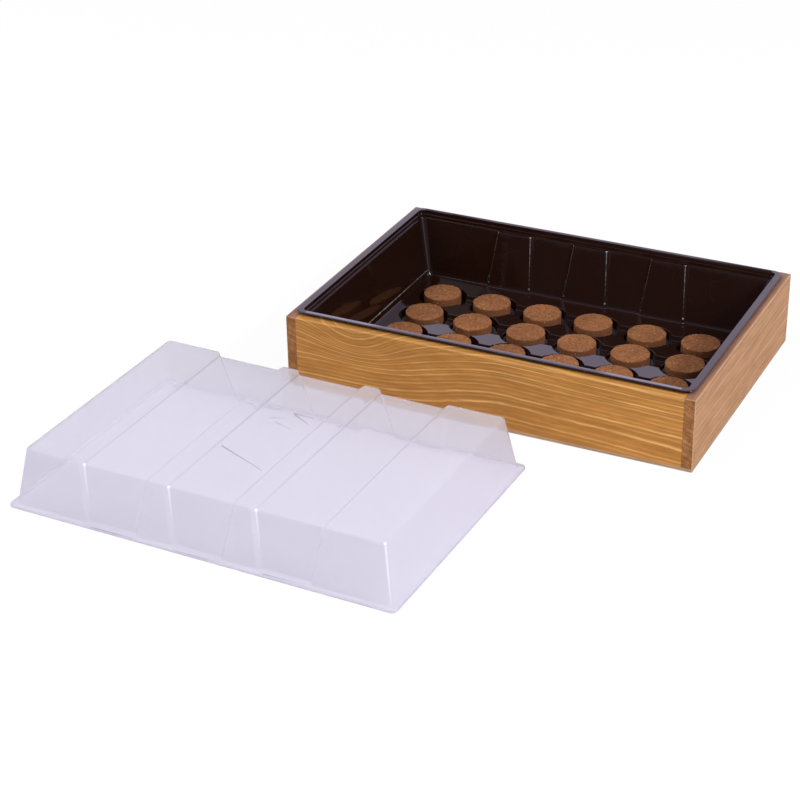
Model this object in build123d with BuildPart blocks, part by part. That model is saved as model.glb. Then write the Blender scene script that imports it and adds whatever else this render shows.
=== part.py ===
from build123d import *
import math
import os

# Seed starting box: a stained wooden frame with a plywood bottom, a dark thermoformed
# tray that stands in it, pressed growing pellets in the tray's wells and a clear hood,
# taken off and standing on the ground in front.
# Millimetres, +Z up, +X along the long side, front towards -Y.
# The origin is the centre of the box's underside.

# Wooden box
box_length = 400.0
box_width = 280.0
board_height = 68.5
board_thickness = 10.0
board_edge_radius = 1.2
panel_thickness = 3.0

# Machine-driven brads of flat wire, through the end boards and up through the bottom panel
brad_wire_width = 1.2
brad_wire_thickness = 1.0
brad_head_width = 2.0
brad_head_height = 0.8
brad_length = 24.0
brad_play = 0.05
corner_brad_drop = 9.5
corner_brad_spacing = 5.0
panel_brad_length = 18.0
panel_brads_long_side = 4
panel_brads_end = 2

# Thermoformed tray, inside sizes
tray_sheet = 0.8
tray_side_gap = 0.7
rim_stand = 3.5
rim_lip_height = 1.2
rim_width_end = 6.6
rim_width_side = 5.0
rim_inner_radius = 5.0
rim_edge_bevel = 0.4
step_lean = 0.3
upper_step_drop = 4.0
upper_ledge_width = 1.0
lower_step_drop = 3.2
lower_ledge_width = 1.6
wall_lean = 12.6
wall_foot_radius = 4.0
foot_band_height = 4.5
foot_band_width = 2.0
island_height = 8.7

# Pillars that stiffen the tray's long walls
pillar_relief = 2.4
pillar_top_width = 40.0
pillar_foot_width = 49.0

# Wells and the channels that join them along each row; round forms are drawn with flats
round_sides = 24
well_columns = 6
well_rows = 4
well_swell_gap = 5.2
well_lean = 1.6
well_end_margin = 10.2
well_side_margin = 17.2
channel_width = 22.0
channel_height = 4.2
channel_taper = 18.0

# Pressed growing pellets
pellet_diameter = 38.0
pellet_height = 11.5

# How far each pellet lies off the middle of its well, along X and Y: the back row first
pellet_rests = [
    [(-1.7, 2.8), (-1.6, 2.4), (-1.1, 1.2), (-2.2, 2.2), (-0.7, 0.9), (-1.0, 3.0)],
    [(0.4, 1.9), (-1.4, 0.6), (0.4, 1.8), (-0.4, 0.4), (-0.5, 1.1), (-0.7, 2.4)],
    [(-1.1, 2.2), (-1.6, -1.3), (0.2, -0.9), (0.0, 0.0), (-0.2, 0.3), (-0.4, -0.2)],
    [(0.5, 1.0), (-0.8, 0.4), (0.3, -1.1), (-0.6, 1.3), (0.9, 0.2), (-0.3, -0.8)],
]

# Clear hood, outside sizes, and where it stands
hood_sheet = 0.7
hood_seat_gap = 0.6
hood_height = 54.0
hood_lip_height = 2.5
hood_flange_width = 4.5
hood_wall_lean = 9.5
hood_foot_radius = 7.0
hood_top_radius = 4.0
hood_belt_count = 3
hood_belt_pitch = 83.5
hood_belt_top_width = 62.0
hood_belt_foot_width = 45.0
hood_belt_slope = 5.0
hood_belt_wall_depth = 4.0
hood_belt_top_depth = 2.6
hood_turn = -1.2
hood_shift_x = -123.2
hood_front_gap = 46.5

# Levels and half sizes that follow from the sizes above
board_top = panel_thickness + board_height
rim_top = board_top + rim_stand
well_floor = panel_thickness + tray_sheet
island_top = well_floor + island_height
wall_foot = island_top + foot_band_height
upper_ledge = rim_top - upper_step_drop
lower_ledge = upper_ledge - lower_step_drop
inside_x = box_length / 2 - board_thickness
inside_y = box_width / 2 - board_thickness
rim_x = inside_x - tray_side_gap - tray_sheet
rim_y = inside_y - tray_side_gap - tray_sheet
lower_step_inset = step_lean + upper_ledge_width
wall_top_inset = lower_step_inset + step_lean + lower_ledge_width
wall_foot_inset = wall_top_inset + wall_lean
floor_inset = wall_foot_inset + foot_band_width
well_radius = pellet_diameter / 2 + well_swell_gap
well_taper = math.degrees(math.atan(well_lean / island_height))
well_reach_x = rim_x - floor_inset - well_end_margin - well_radius
well_reach_y = rim_y - floor_inset - well_side_margin - well_radius
well_pitch_x = 2 * well_reach_x / (well_columns - 1)
well_pitch_y = 2 * well_reach_y / (well_rows - 1)
well_row_places = [well_reach_y - row * well_pitch_y for row in range(well_rows)]
pillar_pitch = 1.5 * well_pitch_x
flange_x = rim_x - lower_step_inset - step_lean - hood_seat_gap
flange_y = rim_y - lower_step_inset - step_lean - hood_seat_gap
flange_radius = rim_inner_radius
hood_shift_y = -box_width / 2 - hood_front_gap - flange_y

os.makedirs("parts", exist_ok=True)


def brad(length, play=0):
    # A brad along -Z with the top of its head at the origin, or with play the room it takes.
    with BuildPart() as nail:
        with BuildSketch():
            Rectangle(brad_head_width + 2 * play, brad_wire_thickness + 2 * play)
        extrude(amount=-brad_head_height)
        with BuildSketch():
            Rectangle(brad_wire_width + 2 * play, brad_wire_thickness + 2 * play)
        extrude(amount=-length)
    return nail.part


# Places of the brads: pairs near the top and foot of each corner, and a row under each board
brad_mid_y = box_width / 2 - board_thickness / 2
corner_levels = [
    board_top - corner_brad_drop,
    board_top - corner_brad_drop - corner_brad_spacing,
    panel_thickness + corner_brad_drop + corner_brad_spacing,
    panel_thickness + corner_brad_drop,
]
corner_spots = []
for side in (-1, 1):
    facing = Plane(origin=(side * box_length / 2, 0, 0), x_dir=(0, 1, 0), z_dir=(side, 0, 0))
    for end in (-1, 1):
        for level in corner_levels:
            corner_spots.append(facing.location * Pos(end * brad_mid_y, side * level, 0))

panel_spots = []
under = Plane(origin=(0, 0, 0), x_dir=(1, 0, 0), z_dir=(0, 0, -1))
brad_mid_x = box_length / 2 - board_thickness / 2
side_step = 2 * inside_x / panel_brads_long_side
end_step = 2 * inside_y / panel_brads_end
for place in GridLocations(side_step, 2 * brad_mid_y, panel_brads_long_side, 2):
    panel_spots.append(under.location * place)
for place in GridLocations(2 * brad_mid_x, end_step, 2, panel_brads_end):
    panel_spots.append(under.location * place)
all_holes = [spot * brad(brad_length, brad_play) for spot in corner_spots]
all_holes += [spot * brad(panel_brad_length, brad_play) for spot in panel_spots]

# Long boards, let in between the end boards, top outer edge eased
for name, side in (("front_board", -1), ("back_board", 1)):
    with BuildPart() as long_board:
        with BuildSketch(Plane.XY.offset(panel_thickness)):
            with Locations((0, side * brad_mid_y)):
                Rectangle(2 * inside_x, board_thickness)
        extrude(amount=board_height)
        top_edges = long_board.edges().filter_by(Axis.X).group_by(Axis.Z)[-1]
        fillet(top_edges.sort_by(Axis.Y)[0 if side < 0 else -1], board_edge_radius)
        add(all_holes, mode=Mode.SUBTRACT)
    long_board.part.label = name
    export_step(long_board.part, f"parts/{name}.step")

# End boards, whose end grain shows on the front and back
for name, side in (("left_end_board", -1), ("right_end_board", 1)):
    with BuildPart() as end_board:
        with BuildSketch(Plane.XY.offset(panel_thickness)):
            with Locations((side * brad_mid_x, 0)):
                Rectangle(board_thickness, box_width)
        extrude(amount=board_height)
        outer = end_board.faces().sort_by(Axis.X)[0 if side < 0 else -1]
        ends = end_board.faces().filter_by(Axis.Y).edges().group_by(Axis.Z)[-1]
        fillet(outer.edges().filter_by(Axis.Z) + outer.edges().group_by(Axis.Z)[-1] + ends, board_edge_radius)
        add(all_holes, mode=Mode.SUBTRACT)
    end_board.part.label = name
    export_step(end_board.part, f"parts/{name}.step")

# Plywood bottom, nailed up into all four boards
with BuildPart() as bottom_panel:
    with BuildSketch():
        RectangleRounded(box_length, box_width, board_edge_radius)
    extrude(amount=panel_thickness)
    add(all_holes, mode=Mode.SUBTRACT)
bottom_panel.part.label = "bottom_panel"
export_step(bottom_panel.part, "parts/bottom_panel.step")

corner_brads = Compound(children=[spot * brad(brad_length) for spot in corner_spots])
corner_brads.label = "corner_brads"
export_step(corner_brads, "parts/corner_brads.step")

panel_brads = Compound(children=[spot * brad(panel_brad_length) for spot in panel_spots])
panel_brads.label = "panel_brads"
export_step(panel_brads, "parts/panel_brads.step")


def tray_outline(level, inset, grow, radius):
    # Rounded rectangle round the tray's middle, inset from the rim's inner edge.
    with BuildSketch(Plane.XY.offset(level)) as outline:
        RectangleRounded(2 * (rim_x - inset + grow), 2 * (rim_y - inset + grow), radius + grow)
    return outline.sketch


def pillar(end, middle, grow):
    # What one pillar takes out of the tray's inside, from the floor to the ledge.
    sections = [
        (island_top - grow, floor_inset, pillar_foot_width),
        (wall_foot - grow, wall_foot_inset, pillar_foot_width),
        (lower_ledge - grow, wall_top_inset, pillar_top_width),
    ]
    with BuildPart() as column:
        for level, inset, width in sections:
            wall_y = rim_y - inset + grow
            half = width / 2 - grow
            with BuildSketch(Plane.XY.offset(level)):
                with BuildLine():
                    Polyline(
                        (middle - half - pillar_relief, end * (wall_y + pillar_relief)),
                        (middle + half + pillar_relief, end * (wall_y + pillar_relief)),
                        (middle + half - pillar_relief, end * (wall_y - pillar_relief)),
                        (middle - half + pillar_relief, end * (wall_y - pillar_relief)),
                        close=True,
                    )
                make_face()
        loft(ruled=True)
    return column.part


def well(grow):
    # One tapered well, standing on the tray's middle.
    with BuildPart() as cup:
        with BuildSketch(Plane.XY.offset(island_top - grow)):
            RegularPolygon(well_radius + grow, round_sides)
        extrude(amount=-island_height)
        draft(cup.faces().filter_by(Axis.Z, reverse=True), Plane.XY.offset(island_top - grow), -well_taper)
    return cup.part


def channel(grow):
    # One row's channel, from the middle of its first well to the middle of its last.
    with BuildPart() as trough:
        with BuildSketch(Plane.XY.offset(island_top - grow)):
            Rectangle(2 * well_reach_x, channel_width + 2 * grow)
        extrude(amount=channel_height - island_height)
        draft(trough.faces().filter_by(Axis.Y), Plane.XY.offset(island_top - grow), -channel_taper)
    return trough.part


def tray_form(grow):
    # A quarter of the tray's inside, or with grow of its outside: the sheet lies between the two.
    pillars = [pillar(1, number * pillar_pitch, grow) for number in (0, 1)]
    cups = []
    for spot in GridLocations(well_pitch_x, well_pitch_y, well_columns, well_rows):
        if min(spot.position.X, spot.position.Y) > -well_radius - grow:
            cups.append(spot * well(grow))
    troughs = [Pos(0, y, 0) * channel(grow) for y in well_row_places if y > 0]
    with BuildPart() as form:
        add(tray_outline(island_top - grow, floor_inset, grow, wall_foot_radius))
        add(tray_outline(wall_foot - grow, wall_foot_inset, grow, wall_foot_radius))
        add(tray_outline(lower_ledge - grow, wall_top_inset, grow, rim_inner_radius))
        loft(ruled=True)
        add(pillars, mode=Mode.SUBTRACT)
        add(tray_outline(lower_ledge - grow, lower_step_inset + step_lean, grow, rim_inner_radius))
        add(tray_outline(upper_ledge - grow, lower_step_inset, grow, rim_inner_radius))
        loft(ruled=True)
        add(tray_outline(upper_ledge - grow, step_lean, grow, rim_inner_radius))
        add(tray_outline(rim_top, 0, grow, rim_inner_radius))
        loft(ruled=True)
        split(bisect_by=Plane.YZ)
        split(bisect_by=Plane.ZX)
        add(cups)
        add(troughs)
        split(bisect_by=Plane.YZ)
        split(bisect_by=Plane.ZX)
    return form.part


# Tray: sheet of even thickness that stands on the bottom panel, its flat rim a little over the boards.
# A quarter is made and mirrored twice.
tray_inside = tray_form(0)
tray_outside = tray_form(tray_sheet)
rim_foot = rim_top - rim_lip_height
rim_length = 2 * (rim_x + rim_width_end)
rim_width = 2 * (rim_y + rim_width_side)
rim_radius = rim_inner_radius + rim_width_side
with BuildPart() as inner_tray:
    with BuildSketch(Plane.XY.offset(rim_foot)):
        RectangleRounded(rim_length, rim_width, rim_radius)
    extrude(amount=rim_lip_height)
    chamfer(inner_tray.edges().group_by(Axis.Z)[-1], rim_edge_bevel)
    with BuildSketch(Plane.XY.offset(rim_foot)):
        RectangleRounded(rim_length - 2 * tray_sheet, rim_width - 2 * tray_sheet, rim_radius - tray_sheet)
    extrude(amount=rim_lip_height - tray_sheet, mode=Mode.SUBTRACT)
    split(bisect_by=Plane.YZ)
    split(bisect_by=Plane.ZX)
    add(tray_outside)
    add(tray_inside, mode=Mode.SUBTRACT)
    mirror(about=Plane.YZ)
    mirror(about=Plane.ZX)
inner_tray.part.label = "inner_tray"
export_step(inner_tray.part, "parts/inner_tray.step")

# Pellets, one loose in each well
pellet_number = 0
for row in range(well_rows):
    for column in range(well_columns):
        pellet_number += 1
        rest_x, rest_y = pellet_rests[row][column]
        spot_x = -well_reach_x + column * well_pitch_x + rest_x
        spot_y = well_row_places[row] + rest_y
        with BuildPart() as pellet:
            with BuildSketch(Plane.XY.offset(well_floor)):
                with Locations((spot_x, spot_y)):
                    RegularPolygon(pellet_diameter / 2, round_sides)
            extrude(amount=pellet_height)
        pellet.part.label = f"pellet_{pellet_number:02d}"
        export_step(pellet.part, f"parts/pellet_{pellet_number:02d}.step")


def hood_outline(level, inset, shrink, radius):
    # Rounded rectangle round the hood's middle, inset from the flange's outer edge.
    with BuildSketch(Plane.XY.offset(level)) as outline:
        RectangleRounded(2 * (flange_x - inset - shrink), 2 * (flange_y - inset - shrink), radius - shrink)
    return outline.sketch


def wall_belt(end, middle, shrink):
    # What one belt takes out of a long wall, wide at the top and narrow at the foot.
    sections = [
        (hood_lip_height - shrink, hood_flange_width, hood_belt_foot_width),
        (hood_height, hood_flange_width + hood_wall_lean, hood_belt_top_width),
    ]
    with BuildPart() as belt:
        for level, inset, width in sections:
            wall_y = flange_y - inset - shrink
            floor_y = wall_y - hood_belt_wall_depth
            half = width / 2 + shrink
            flare = hood_belt_slope / hood_belt_wall_depth * hood_flange_width
            with BuildSketch(Plane.XY.offset(level)):
                with BuildLine():
                    Polyline(
                        (middle - half - flare, end * (wall_y + hood_flange_width)),
                        (middle + half + flare, end * (wall_y + hood_flange_width)),
                        (middle + half - hood_belt_slope, end * floor_y),
                        (middle - half + hood_belt_slope, end * floor_y),
                        close=True,
                    )
                make_face()
        loft(ruled=True)
    return belt.part


def top_belt(middle, shrink):
    # What one belt takes out of the hood's top, from the front edge to the back edge.
    top = hood_height - shrink
    half = hood_belt_top_width / 2 + shrink
    with BuildPart() as belt:
        with BuildSketch(Plane.XZ):
            with BuildLine():
                Polyline(
                    (middle - half, top),
                    (middle + half, top),
                    (middle + half - hood_belt_slope, top - hood_belt_top_depth),
                    (middle - half + hood_belt_slope, top - hood_belt_top_depth),
                    close=True,
                )
            make_face()
        extrude(amount=flange_y, both=True)
    return belt.part


def hood_form(shrink):
    # The hood's outside, or with shrink its inside: the sheet lies between the two.
    belts = []
    for number in range(hood_belt_count):
        middle = (number - (hood_belt_count - 1) / 2) * hood_belt_pitch
        belts.append(top_belt(middle, shrink))
        belts.append(wall_belt(-1, middle, shrink))
        belts.append(wall_belt(1, middle, shrink))
    with BuildPart() as form:
        add(hood_outline(hood_lip_height - shrink, hood_flange_width, shrink, hood_foot_radius))
        add(hood_outline(hood_height - shrink, hood_flange_width + hood_wall_lean, shrink, hood_top_radius))
        loft(ruled=True)
        add(belts, mode=Mode.SUBTRACT)
    return form.part


# Hood: its flange drops into the tray's lower ledge when it is on; here it stands in front
hood_outside = hood_form(0)
hood_inside = hood_form(hood_sheet)
with BuildPart() as standing_hood:
    with BuildSketch():
        RectangleRounded(2 * flange_x, 2 * flange_y, flange_radius)
    extrude(amount=hood_lip_height)
    with BuildSketch():
        RectangleRounded(2 * (flange_x - hood_sheet), 2 * (flange_y - hood_sheet), flange_radius - hood_sheet)
    extrude(amount=hood_lip_height - hood_sheet, mode=Mode.SUBTRACT)
    add(hood_outside)
    add(hood_inside, mode=Mode.SUBTRACT)
clear_hood = Pos(hood_shift_x, hood_shift_y, 0) * Rot(0, 0, hood_turn) * standing_hood.part
clear_hood.label = "clear_hood"
export_step(clear_hood, "parts/clear_hood.step")
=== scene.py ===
# Looks of a seed starting box: wood, moulded tray, pressed pellets, clear hood and a studio
import math

import bmesh
import bpy
from mathutils import Matrix, Vector, noise


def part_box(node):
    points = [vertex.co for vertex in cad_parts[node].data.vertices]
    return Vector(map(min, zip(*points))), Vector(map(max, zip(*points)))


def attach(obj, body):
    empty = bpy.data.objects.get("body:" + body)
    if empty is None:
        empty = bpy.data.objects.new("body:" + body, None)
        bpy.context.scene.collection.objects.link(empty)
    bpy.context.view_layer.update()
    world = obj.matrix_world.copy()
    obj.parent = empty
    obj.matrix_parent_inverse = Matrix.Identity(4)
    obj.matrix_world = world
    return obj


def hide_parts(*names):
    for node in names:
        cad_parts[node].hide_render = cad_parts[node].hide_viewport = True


bl_info = {
    "name": "Seed Starting Box",
    "version": (1, 0, 0),
    "blender": (4, 5, 0),
    "location": "View3D > Sidebar > Seed Box",
    "description": "Dresses the seed starting box and sets it on a studio floor",
    "category": "Object",
}

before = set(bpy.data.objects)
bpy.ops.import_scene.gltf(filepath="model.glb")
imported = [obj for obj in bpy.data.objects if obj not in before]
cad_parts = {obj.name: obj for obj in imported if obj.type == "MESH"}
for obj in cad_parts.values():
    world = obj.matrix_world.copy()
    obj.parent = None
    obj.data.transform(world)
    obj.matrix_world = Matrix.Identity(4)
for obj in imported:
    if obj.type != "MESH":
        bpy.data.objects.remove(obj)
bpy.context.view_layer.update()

MM = 0.001

# Places read from the frame
FRONT_LOW, FRONT_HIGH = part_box("front_board")
RIGHT_LOW, RIGHT_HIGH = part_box("right_end_board")
TRAY_LOW, TRAY_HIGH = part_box("inner_tray")
PELLET_LOW, PELLET_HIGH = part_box("pellet_01")
PELLET_NODES = sorted(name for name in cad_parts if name.startswith("pellet_"))
PELLET_RADIUS = (PELLET_HIGH.x - PELLET_LOW.x) / 2
BOARD_TOP = FRONT_HIGH.z
BOX_HALF_X = RIGHT_HIGH.x
BOX_HALF_Y = RIGHT_HIGH.y
BOARD_THICKNESS = RIGHT_HIGH.x - RIGHT_LOW.x
RIM_TOP = TRAY_HIGH.z
WELL_FLOOR = PELLET_LOW.z
WELL_COLUMNS = 6
WELL_ROWS = 4

WHITE = (1.0, 1.0, 1.0, 1.0)


def length(label, words, millimetres):
    return bpy.props.FloatProperty(
        name=label, description=words, default=millimetres * MM, unit="LENGTH", precision=4
    )


def share(label, words, default):
    return bpy.props.FloatProperty(name=label, description=words, default=default, min=0.0, max=1.0)


def steps(label, words, default):
    return bpy.props.IntProperty(name=label, description=words, default=default, min=1)


def number(label, words, default, unit="NONE"):
    return bpy.props.FloatProperty(name=label, description=words, default=default, unit=unit)


def point(label, words, default):
    return bpy.props.FloatVectorProperty(name=label, description=words, default=default, subtype="XYZ")


def tint(label, words, default):
    return bpy.props.FloatVectorProperty(
        name=label, description=words, default=default, size=3, subtype="COLOR", min=0.0, max=1.0
    )


class SeedBoxWood(bpy.types.PropertyGroup):
    front_early: tint("Front early wood", "Soft wood of the long boards", (0.525, 0.226, 0.049))
    front_late: tint("Front late wood", "Ring lines of the long boards", (0.88, 0.52, 0.170))
    end_early: tint("End board early wood", "Soft wood of the end boards", (0.49, 0.258, 0.127))
    end_late: tint("End board late wood", "Ring lines of the end boards", (0.66, 0.38, 0.200))
    end_grain: tint("End grain", "Cut ends of the boards", (0.38, 0.168, 0.058))
    plywood: tint("Plywood", "Bottom panel", (0.58, 0.40, 0.24))
    steel: tint("Brads", "Heads of the brads", (0.035, 0.022, 0.016))
    ring_spacing: length("Ring spacing", "Distance between ring lines", 3.7)
    end_ring_spacing: length("End board ring spacing", "Ring distance on the end boards", 4.4)


class SeedBoxTray(bpy.types.PropertyGroup):
    sheet: length("Sheet", "Thickness of the moulded sheet", 0.8)
    lip_height: length("Lip height", "Height of the turned-down lip", 1.2)
    lip_round: length("Lip rounding", "Rounding between the rim and its lip", 1.1)
    rim_width_end: length("Rim width at the ends", "Flat rim on the end boards", 6.6)
    rim_width_side: length("Rim width at the sides", "Flat rim on the long boards", 5.0)
    rim_radius: length("Rim radius", "Inner corner radius of the rim", 5.0)
    foot_radius: length("Foot radius", "Corner radius at the walls' foot", 4.0)
    step_lean: length("Step lean", "Lean of the two small steps", 0.3)
    upper_step: length("Upper step", "Drop from the rim to the upper ledge", 4.0)
    upper_ledge: length("Upper ledge", "Width of the upper ledge", 1.0)
    lower_step: length("Lower step", "Drop to the ledge that carries the hood", 3.2)
    lower_ledge: length("Lower ledge", "Width of the ledge that carries the hood", 1.6)
    wall_lean: length("Wall lean", "How far the walls lean in on their way down", 12.6)
    foot_height: length("Foot band height", "Height of the band at the walls' foot", 4.5)
    foot_width: length("Foot band width", "Width of the band at the walls' foot", 2.0)
    island_height: length("Island height", "Height of the islands over the wells' floor", 8.7)
    pillar_relief: length("Pillar relief", "How far the pillars stand in", 2.4)
    pillar_top: length("Pillar top width", "Width of a pillar under the ledge", 40.0)
    pillar_foot: length("Pillar foot width", "Width of a pillar at its foot", 49.0)
    pillar_round: length("Pillar rounding", "How far the pillars' upright edges are rounded", 1.1)
    well_gap: length("Well gap", "Room round a pellet at the well's top", 5.2)
    well_lean: length("Well lean", "How much narrower a well is at its floor", 1.6)
    well_end_margin: length("Well end margin", "From the floor's end to the first well", 10.2)
    well_side_margin: length("Well side margin", "From the floor's side to the first well", 17.2)
    channel_width: length("Channel width", "Width of the channels between wells", 22.0)
    channel_height: length("Channel height", "Channel floor over the wells' floor", 4.2)
    channel_lean: length("Channel lean", "Lean of the channels' sides", 1.5)
    ledge_round: length("Ledge rounding", "Rounding of the ledges' edges", 0.45)
    wall_round: length("Wall rounding", "Rounding of the walls' edges", 0.8)
    colour: tint("Colour", "Dark brown sheet", (0.0165, 0.0052, 0.0026))
    roughness: share("Roughness", "Gloss of the sheet", 0.05)


class SeedBoxPellets(bpy.types.PropertyGroup):
    round: length("Edge rounding", "Rounding of a pellet's edges", 0.9)
    lumps: length("Lumps", "Height of the lumps in the pressed fibre", 0.42)
    crumbs: length("Crumbs", "Height of the fine crumbs", 0.22)
    sides: steps("Sides", "Steps round a pellet", 96)
    rings: steps("Rings", "Steps from the middle of a pellet to its edge", 12)
    colour: tint("Fibre", "Colour of the pressed fibre", (0.35, 0.138, 0.050))
    # The dark fibre is also painted shade on the pellets' sides
    hollow_tone_and_side_shade: tint("Dark fibre", "Colour in the hollows and on the sides", (0.20, 0.074, 0.030))
    fleck: tint("Flecks", "Colour of the pale flecks", (0.75, 0.58, 0.42))


class SeedBoxHood(bpy.types.PropertyGroup):
    sheet: length("Sheet", "Thickness of the clear sheet", 0.7)
    height: length("Height", "Height of the hood", 54.0)
    lip_height: length("Lip height", "Height of the flange's turned-down lip", 2.5)
    flange: length("Flange width", "Width of the flange round the foot", 4.5)
    wall_lean: length("Wall lean", "How far the walls lean in", 9.5)
    foot_radius: length("Foot radius", "Corner radius at the foot", 7.0)
    top_radius: length("Top radius", "Corner radius at the top", 4.0)
    belt_pitch: length("Belt pitch", "Distance between the belts", 83.5)
    belt_top: length("Belt top width", "Width of a belt at the top", 68.0)
    belt_foot: length("Belt foot width", "Width of a belt at the foot", 51.0)
    belt_slope: length("Belt slope", "Width of a belt's sloping side", 3.0)
    belt_depth: length("Belt depth", "Depth of a belt in the walls", 4.0)
    belt_top_depth: length("Belt top depth", "Depth of a belt in the top", 2.6)
    seat_gap: length("Seat gap", "Room between the flange and the tray's ledge", 0.6)
    front_gap: length("Front gap", "Distance from the box to the hood", 46.5)
    shift: length("Shift", "Place of the hood along the box", -123.2)
    yaw: bpy.props.FloatProperty(
        name="Yaw", description="Turn of the hood on the ground", default=math.radians(-1.2), unit="ROTATION"
    )
    top_round: length("Top rounding", "Rounding between the walls and the top", 3.0)
    belt_round: length("Belt rounding", "How far the belts' edges are rounded", 1.4)
    lip_round: length("Lip rounding", "Rounding of the flange's outer edge", 0.8)
    foot_round: length("Foot rounding", "Rounding between the flange and the walls", 1.2)
    colour: tint("Colour", "Tint of the clear sheet", (0.896, 0.888, 0.922))
    haze: share("Haze", "How milky the sheet is", 0.14)
    roughness: share("Roughness", "Gloss of the sheet", 0.10)


class SeedBoxStage(bpy.types.PropertyGroup):
    camera_place: point("Camera place", "Where the camera stands", (0.6718, -1.6550, 0.9313))
    camera_aim: point("Camera aim", "Where the camera looks", (-0.3914, 0.7860, -0.4786))
    camera_right: point("Camera right", "The camera's right", (0.8988, 0.4382, -0.0154))
    lens: number("Lens", "Focal length on a 36 mm sensor", 94.05)
    floor_half: length("Floor half size", "Half the side of the floor", 6000.0)
    world_light: number("World light", "Strength of the sky", 0.62)
    key_power: number("Key power", "Power of the key light", 15.0, "POWER")
    spark_power: number("Spark power", "Power of each small light", 3.5, "POWER")
    fill_power: number("Fill power", "Power of the fill light", 22.0, "POWER")
    sky_strength: number("Sky strength", "Strength of the mirrored sky behind the box", 1.52)
    front_sky: number("Front sky", "Strength of the mirrored sky in front of the box", 0.25)
    floor_tint: tint("Floor", "Pale floor", (0.60, 0.577, 0.64))
    sky_tint: tint("Reflected sky", "Colour that glossy surfaces mirror", (0.83, 0.745, 1.0))


class Value:
    # An output in a shader tree: arithmetic on it adds maths nodes, and [ ] is another output of its node
    def __init__(self, output):
        self.output = output
        self.tree = output.id_data

    def __getitem__(self, key):
        return Value(self.output.node.outputs[key])

    def __add__(self, other):
        return maths("ADD", self, other)

    def __sub__(self, other):
        return maths("SUBTRACT", self, other)

    def __rsub__(self, other):
        return maths("SUBTRACT", other, self)

    def __mul__(self, other):
        return maths("MULTIPLY", self, other)

    def __truediv__(self, other):
        return maths("DIVIDE", self, other)

    def __abs__(self):
        return maths("ABSOLUTE", self)


def feed(node, inputs):
    # Links values to a node's inputs and sets the plain ones
    for key, value in inputs.items():
        socket = node.inputs[key]
        if isinstance(value, Value):
            value.tree.links.new(value.output, socket)
        else:
            socket.default_value = value


def add_node(kind, inputs, tree=None, **settings):
    # One shader node, in the tree that its linked inputs belong to
    tree = tree or next(value.tree for value in inputs.values() if isinstance(value, Value))
    made = tree.nodes.new(kind)
    for key, value in settings.items():
        setattr(made, key, value)
    feed(made, inputs)
    return Value(made.outputs[0])


def maths(operation, *values, clamp=False):
    return add_node("ShaderNodeMath", dict(enumerate(values)), operation=operation, use_clamp=clamp)


def strongest(values):
    most = values[0]
    for value in values[1:]:
        most = maths("MAXIMUM", most, value)
    return most


def vector_maths(operation, *values):
    # A number for a length, a distance or a dot product, and a vector otherwise
    made = add_node("ShaderNodeVectorMath", dict(enumerate(values)), operation=operation)
    return made["Value"] if operation in ("LENGTH", "DISTANCE", "DOT_PRODUCT") else made


def vector_of(*parts):
    return add_node("ShaderNodeCombineXYZ", dict(enumerate(parts)))


def parts_of(vector):
    return add_node("ShaderNodeSeparateXYZ", {0: vector})


def ramp(value, low, high, to_low=0.0, to_high=1.0):
    # Smooth step of a value between two limits
    inputs = {"Value": value, "From Min": low, "From Max": high, "To Min": to_low, "To Max": to_high}
    return add_node("ShaderNodeMapRange", inputs, interpolation_type="SMOOTHSTEP")


def blend(factor, first, second, kind="MIX"):
    inputs = {"Factor": factor}
    for key, colour in ((6, first), (7, second)):
        inputs[key] = colour if isinstance(colour, Value) else (*colour, 1.0)
    return add_node("ShaderNodeMix", inputs, data_type="RGBA", blend_type=kind)[2]


def grey_of(value):
    return add_node("ShaderNodeCombineColor", {0: value, 1: value, 2: value})


def shaded(colour, shade):
    return blend(1.0, colour, grey_of(shade), "MULTIPLY")


def noise_of(vector, scale, detail=2.0, roughness=0.5):
    inputs = {"Vector": vector, "Scale": scale, "Detail": detail, "Roughness": roughness}
    return add_node("ShaderNodeTexNoise", inputs)


def bent_place(where, scale, detail, reach):
    # The place pushed about by noise, for lines that aren't straight
    push = noise_of(where, scale, detail)["Color"]
    return vector_maths("MULTIPLY_ADD", push, (reach, reach, reach), where)


def cells_of(vector, scale, feature="F1"):
    return add_node("ShaderNodeTexVoronoi", {"Vector": vector, "Scale": scale}, feature=feature)


def bump_of(height, strength, distance):
    return add_node("ShaderNodeBump", {"Height": height, "Strength": strength, "Distance": distance})


def new_group(name, inputs, outputs):
    # A shader node group with its inputs and the node that takes its results; no default is a vector
    group = bpy.data.node_groups.new(name, "ShaderNodeTree")
    for label, default in inputs.items():
        kind = "NodeSocketVector" if default is None else "NodeSocketFloat"
        socket = group.interface.new_socket(name=label, in_out="INPUT", socket_type=kind)
        if default is not None:
            socket.default_value = default
    for label in outputs:
        group.interface.new_socket(name=label, in_out="OUTPUT", socket_type="NodeSocketFloat")
    entry = group.nodes.new("NodeGroupInput")
    return group, Value(entry.outputs[0]), group.nodes.new("NodeGroupOutput")


def use_group(group, **inputs):
    return add_node("ShaderNodeGroup", inputs, node_tree=group)


def new_material(name):
    # A material with its shader and the places and normals of its object
    made = bpy.data.materials.new(name)
    made.use_nodes = True
    shader = made.node_tree.nodes["Principled BSDF"]
    known = add_node("ShaderNodeTexCoord", {}, made.node_tree)
    return made, shader, known["Object"], known["Normal"]


def mixed_with(shader, factor, other):
    # Shows the other shader in place of the material's own, by the factor
    mixed = add_node("ShaderNodeMixShader", {0: factor, 1: Value(shader.outputs[0]), 2: other})
    feed(mixed.tree.nodes["Material Output"], {"Surface": mixed})


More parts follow.
